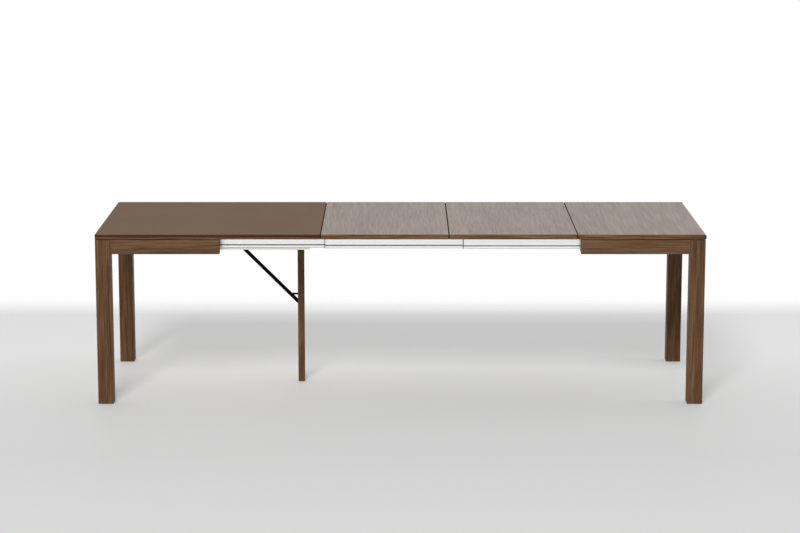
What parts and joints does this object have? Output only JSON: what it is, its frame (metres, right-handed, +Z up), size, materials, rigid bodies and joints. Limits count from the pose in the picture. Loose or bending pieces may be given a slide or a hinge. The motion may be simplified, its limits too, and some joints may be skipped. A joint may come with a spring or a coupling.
{
  "type": "extending glass table",
  "caption": "Long dining table with a glass top on the fixed end, loose wooden leaves on telescopic rails, a sliding wooden end and a folding centre leg.",
  "frame": {"origin": "on the floor, under the middle of the extended table", "axes": "+X along the table towards the sliding end, +Y to the back, +Z up"},
  "size_m": [2.635, 0.9, 0.75],
  "materials": {
    "walnut": "satin lacquer, fine straight grain",
    "walnut_top": "satin lacquer, grain across the table",
    "back_painted_glass": "satin, brown paint under the glass",
    "beech": "bare",
    "cream_board": "cream melamine",
    "anodised_rail": "satin anodised",
    "dark_plastic": "matt",
    "zinc_steel": "zinc plated",
    "black_steel": "black powder coat",
    "nylon": "smooth"
  },
  "bodies": {
    "fixed_frame": {"leg_front_left": "walnut", "leg_back_left": "walnut", "apron_front_left": "walnut", "apron_back_left": "walnut", "apron_end_left": "walnut", "brace_front_left": "beech", "brace_back_left": "beech", "frame_dowels_left": "beech", "hanger_bolts_left": "zinc_steel", "hanger_nuts_left": "zinc_steel", "top_screws_left": "zinc_steel", "foot_glides_left": "dark_plastic", "shadow_strips_left": "dark_plastic", "glass_board": "walnut", "glass_top": "back_painted_glass", "inner_rail_front": "anodised_rail", "inner_rail_back": "anodised_rail", "inner_rail_caps": "dark_plastic", "rail_brackets": "zinc_steel", "rail_bracket_screws": "zinc_steel", "storage_tray": "cream_board", "underside_screws": "zinc_steel", "leg_bracket": "black_steel", "leg_hinge_pin": "zinc_steel", "roller_channel": "black_steel"},
    "middle_rails": {"middle_rail_front": "anodised_rail", "middle_rail_back": "anodised_rail", "middle_rail_caps": "dark_plastic"},
    "sliding_frame": {"leg_front_right": "walnut", "leg_back_right": "walnut", "apron_front_right": "walnut", "apron_back_right": "walnut", "apron_end_right": "walnut", "brace_front_right": "beech", "brace_back_right": "beech", "frame_dowels_right": "beech", "hanger_bolts_right": "zinc_steel", "hanger_nuts_right": "zinc_steel", "top_screws_right": "zinc_steel", "foot_glides_right": "dark_plastic", "shadow_strips_right": "dark_plastic", "end_top": "walnut_top", "end_top_seal": "dark_plastic", "outer_rail_front": "anodised_rail", "outer_rail_back": "anodised_rail", "outer_rail_caps": "dark_plastic", "outer_rail_screws": "zinc_steel", "cross_batten": "beech"},
    "leaf_left": {"leaf_left": "walnut_top", "leaf_left_pads": "dark_plastic", "leaf_left_seals": "dark_plastic"},
    "leaf_right": {"leaf_right": "walnut_top", "leaf_right_pads": "dark_plastic"},
    "centre_leg": {"centre_leg": "walnut", "centre_leg_glide": "dark_plastic", "strut_pins": "zinc_steel"},
    "strut": {"strut": "black_steel", "strut_rollers": "nylon", "roller_pin": "zinc_steel"},
    "strut_catch": {"strut_catch": "black_steel"}
  },
  "joints": [
    {"name": "end_frame_slide", "type": "slide", "parent": "fixed_frame", "child": "sliding_frame", "axis": [1, 0, 0], "range_m": [-1.108, 0]},
    {"name": "middle_rails_slide", "type": "slide", "parent": "fixed_frame", "child": "middle_rails", "axis": [1, 0, 0], "range_m": [-0.554, 0]},
    {"name": "leaf_left_lift", "type": "slide", "parent": "fixed_frame", "child": "leaf_left", "axis": [0, 0, 1], "range_m": [0, 0.554]},
    {"name": "leaf_right_lift", "type": "slide", "parent": "fixed_frame", "child": "leaf_right", "axis": [0, 0, 1], "range_m": [0, 0.554]},
    {"name": "centre_leg_fold", "type": "hinge", "parent": "fixed_frame", "child": "centre_leg", "pos_m": [-0.4485, 0, 0.64], "axis": [0, 1, 0], "range_deg": [0, 90]},
    {"name": "strut_swing", "type": "hinge", "parent": "centre_leg", "child": "strut", "pos_m": [-0.4565, 0.0236, 0.3565], "axis": [0, 1, 0], "range_deg": [-133.28, 0]},
    {"name": "catch_swing", "type": "hinge", "parent": "centre_leg", "child": "strut_catch", "pos_m": [-0.4485, 0.0236, 0.398], "axis": [0, 1, 0], "range_deg": [0, 90]}
  ],
  "couplings": [
    {"joint": "middle_rails_slide", "follows": "end_frame_slide", "ratio": 0.5},
    {"joint": "leaf_left_lift", "follows": "end_frame_slide", "ratio": -0.5},
    {"joint": "leaf_right_lift", "follows": "end_frame_slide", "ratio": -0.5},
    {"joint": "strut_swing", "follows": "centre_leg_fold", "ratio": -1.4808},
    {"joint": "catch_swing", "follows": "centre_leg_fold", "ratio": 1}
  ]
}
